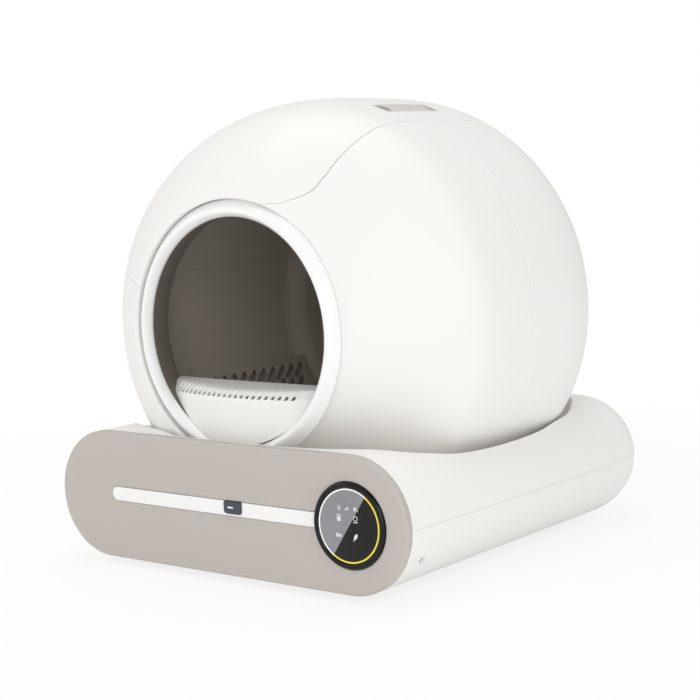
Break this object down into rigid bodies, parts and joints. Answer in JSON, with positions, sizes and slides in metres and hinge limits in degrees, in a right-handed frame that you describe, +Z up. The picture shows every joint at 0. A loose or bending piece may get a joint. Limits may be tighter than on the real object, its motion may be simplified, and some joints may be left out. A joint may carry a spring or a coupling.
{
  "type": "self cleaning litter box",
  "caption": "Self cleaning litter box: rounded base with a waste drawer and round display, fixed globe with a hinged lid, and a motor driven sifting drum.",
  "frame": {"origin": "on the floor under the middle of the whole object's bounding box", "axes": "+Z up, +X to the right and +Y to the back, seen from the front panel"},
  "size_m": [0.5552, 0.6042, 0.5821],
  "materials": {
    "white_shell": "fine satin white",
    "ring_white": "polished white",
    "guard_white": "satin white",
    "taupe_panel": "satin warm grey",
    "handle_grey": "satin light grey",
    "drum_grey": "satin brown grey",
    "dark_plastic": "satin dark grey",
    "gloss_black": "piano black",
    "light_guide": "clear yellow light guide",
    "button_slate": "gloss slate",
    "gear_plastic": "natural acetal",
    "rubber_black": "soft matt",
    "bright_steel": "ground",
    "board_green": "solder mask"
  },
  "bodies": {
    "base": {"base_upper_shell": "white_shell", "base_lower_shell": "white_shell", "chassis_deck": "drum_grey", "power_inlet": "dark_plastic", "main_board": "board_green", "foot_front_left": "rubber_black", "foot_front_right": "rubber_black", "foot_rear_left": "rubber_black", "foot_rear_right": "rubber_black", "front_cover": "white_shell", "rear_cover": "white_shell", "lid_hinge_pin": "bright_steel", "entry_ring": "ring_white", "neck_collar": "drum_grey", "litter_guard": "guard_white", "gear_motor": "dark_plastic", "roller_cradle_left": "dark_plastic", "roller_cradle_right": "dark_plastic", "roller_axle_left": "bright_steel", "roller_axle_right": "bright_steel", "drawer_runner_left": "dark_plastic", "drawer_runner_right": "dark_plastic"},
    "lid": {"top_lid": "white_shell", "lid_handle": "handle_grey"},
    "drum": {"drum_lower_shell": "drum_grey", "drum_upper_shell": "drum_grey", "sieve_grate": "drum_grey", "ring_gear": "gear_plastic"},
    "pinion": {"drive_pinion": "gear_plastic", "pinion_shaft": "bright_steel"},
    "roller_fl": {"roller_front_left": "rubber_black"},
    "roller_rl": {"roller_rear_left": "rubber_black"},
    "roller_fr": {"roller_front_right": "rubber_black"},
    "roller_rr": {"roller_rear_right": "rubber_black"},
    "drawer": {"waste_drawer": "drum_grey", "front_panel": "taupe_panel", "accent_strip": "ring_white", "display_bezel": "gloss_black", "display_light_ring": "light_guide", "display_lens": "gloss_black", "display_board": "board_green", "button_switch": "dark_plastic"},
    "button": {"power_button": "button_slate", "switch_plunger": "dark_plastic"}
  },
  "joints": [
    {"name": "drum_turn", "type": "hinge", "parent": "base", "child": "drum", "pos_m": [0, -0.0209, 0.2992], "axis": [0, 1, 0], "continuous": true},
    {"name": "pinion_spin", "type": "hinge", "parent": "base", "child": "pinion", "pos_m": [0.13225, 0.1211, 0.11717], "axis": [0, 1, 0], "continuous": true},
    {"name": "lid_open", "type": "hinge", "parent": "base", "child": "lid", "pos_m": [-0.26437, 0.0451, 0.39553], "axis": [0, -1, 0], "range_deg": [0, 75]},
    {"name": "drawer_slide", "type": "slide", "parent": "base", "child": "drawer", "axis": [0, -1, 0], "range_m": [0, 0.36]},
    {"name": "button_press", "type": "slide", "parent": "drawer", "child": "button", "axis": [0, 1, 0], "range_m": [0, 0.0015], "stiffness_N_per_m": 600},
    {"name": "roller_fl_spin", "type": "hinge", "parent": "base", "child": "roller_fl", "pos_m": [-0.13686, -0.1409, 0.12403], "axis": [0, 1, 0], "continuous": true},
    {"name": "roller_rl_spin", "type": "hinge", "parent": "base", "child": "roller_rl", "pos_m": [-0.13686, 0.0591, 0.12403], "axis": [0, 1, 0], "continuous": true},
    {"name": "roller_fr_spin", "type": "hinge", "parent": "base", "child": "roller_fr", "pos_m": [0.13686, -0.1409, 0.12403], "axis": [0, 1, 0], "continuous": true},
    {"name": "roller_rr_spin", "type": "hinge", "parent": "base", "child": "roller_rr", "pos_m": [0.13686, 0.0591, 0.12403], "axis": [0, 1, 0], "continuous": true}
  ],
  "couplings": [
    {"joint": "pinion_spin", "follows": "drum_turn", "ratio": -8},
    {"joint": "roller_fl_spin", "follows": "drum_turn", "ratio": -14.857},
    {"joint": "roller_rl_spin", "follows": "drum_turn", "ratio": -14.857},
    {"joint": "roller_fr_spin", "follows": "drum_turn", "ratio": -14.857},
    {"joint": "roller_rr_spin", "follows": "drum_turn", "ratio": -14.857}
  ]
}
